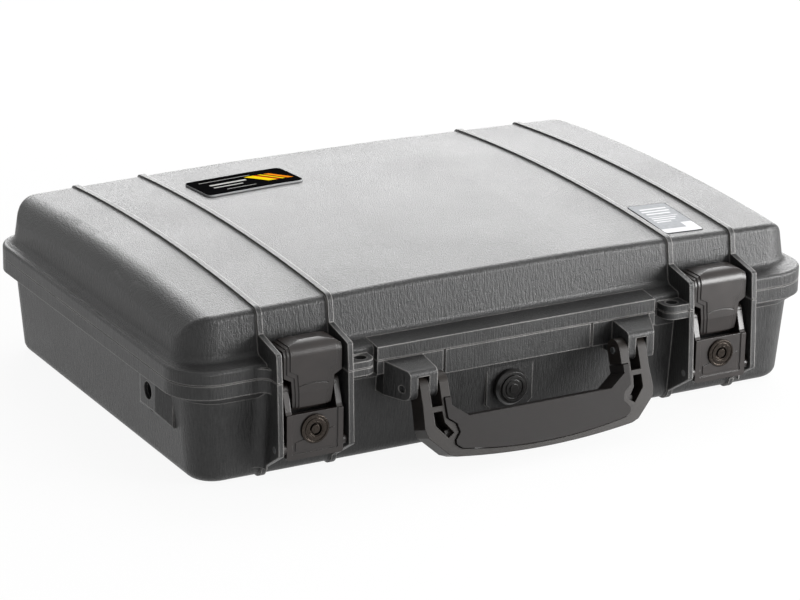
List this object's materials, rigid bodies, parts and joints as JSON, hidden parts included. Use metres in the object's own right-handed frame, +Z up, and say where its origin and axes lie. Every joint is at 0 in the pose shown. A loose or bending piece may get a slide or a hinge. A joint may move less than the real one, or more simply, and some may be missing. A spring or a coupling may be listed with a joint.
{
  "type": "laptop hard case",
  "caption": "Moulded two-part hard case for a laptop: rear-hinged lid, two keyed draw latches, fold-down handle, pressure valve, padlock ears and foam linings.",
  "frame": {"origin": "bottom centre of the closed case's box, with the handle hanging at rest", "axes": "+X to the right seen from the latch side, +Y towards the rear hinge, +Z up"},
  "size_m": [0.505, 0.392, 0.1273],
  "materials": {
    "resin": "matte",
    "latch_resin": "satin",
    "handle_resin": "satin",
    "soft_grip": "matte",
    "foam": "matte",
    "seal_rubber": "satin",
    "steel": "satin",
    "lock_metal": "satin",
    "valve_plastic": "satin",
    "plate": "gloss",
    "film": "satin"
  },
  "bodies": {
    "base": {"base_shell": "resin", "base_pad": "foam", "base_foam": "foam", "valve_body": "valve_plastic", "valve_cap": "valve_plastic", "valve_seal": "seal_rubber", "valve_nut": "valve_plastic", "left_hinge_pin": "steel", "left_frame_pin": "steel", "left_handle_pin": "steel", "right_hinge_pin": "steel", "right_frame_pin": "steel", "right_handle_pin": "steel"},
    "lid": {"lid_shell": "resin", "lid_seal": "seal_rubber", "lid_foam": "foam", "badge_plate": "plate", "lid_film": "film"},
    "handle": {"handle_core": "handle_resin", "handle_grip": "soft_grip"},
    "left_frame": {"left_latch_frame": "latch_resin", "left_lever_pin": "steel", "left_lock_body": "lock_metal", "left_lock_nut": "steel"},
    "left_lever": {"left_latch_lever": "latch_resin"},
    "left_plug": {"left_lock_plug": "lock_metal", "left_lock_cam": "steel", "left_cam_screw": "steel"},
    "right_frame": {"right_latch_frame": "latch_resin", "right_lever_pin": "steel", "right_lock_body": "lock_metal", "right_lock_nut": "steel"},
    "right_lever": {"right_latch_lever": "latch_resin"},
    "right_plug": {"right_lock_plug": "lock_metal", "right_lock_cam": "steel", "right_cam_screw": "steel"}
  },
  "joints": [
    {"name": "lid_hinge", "type": "hinge", "parent": "base", "child": "lid", "pos_m": [0, 0.18801, 0.076], "axis": [-1, 0, 0], "range_deg": [0, 105]},
    {"name": "handle_fold", "type": "hinge", "parent": "base", "child": "handle", "pos_m": [0, -0.16949, 0.059], "axis": [-1, 0, 0], "range_deg": [-17, 75]},
    {"name": "left_frame_swing", "type": "hinge", "parent": "base", "child": "left_frame", "pos_m": [-0.1625, -0.16049, 0.028], "axis": [1, 0, 0], "range_deg": [0, 60]},
    {"name": "left_lever_swing", "type": "hinge", "parent": "left_frame", "child": "left_lever", "pos_m": [-0.1625, -0.15249, 0.067], "axis": [1, 0, 0], "range_deg": [-84.5, 0.5]},
    {"name": "left_lock_turn", "type": "hinge", "parent": "left_frame", "child": "left_plug", "pos_m": [-0.1625, -0.16449, 0.04], "axis": [0, -1, 0], "range_deg": [0, 90]},
    {"name": "right_frame_swing", "type": "hinge", "parent": "base", "child": "right_frame", "pos_m": [0.1625, -0.16049, 0.028], "axis": [1, 0, 0], "range_deg": [0, 60]},
    {"name": "right_lever_swing", "type": "hinge", "parent": "right_frame", "child": "right_lever", "pos_m": [0.1625, -0.15249, 0.067], "axis": [1, 0, 0], "range_deg": [-84.5, 0.5]},
    {"name": "right_lock_turn", "type": "hinge", "parent": "right_frame", "child": "right_plug", "pos_m": [0.1625, -0.16449, 0.04], "axis": [0, -1, 0], "range_deg": [0, 90]}
  ],
  "couplings": [
    {"joint": "left_lever_swing", "follows": "left_frame_swing", "ratio": -1.4},
    {"joint": "right_lever_swing", "follows": "right_frame_swing", "ratio": -1.4}
  ]
}
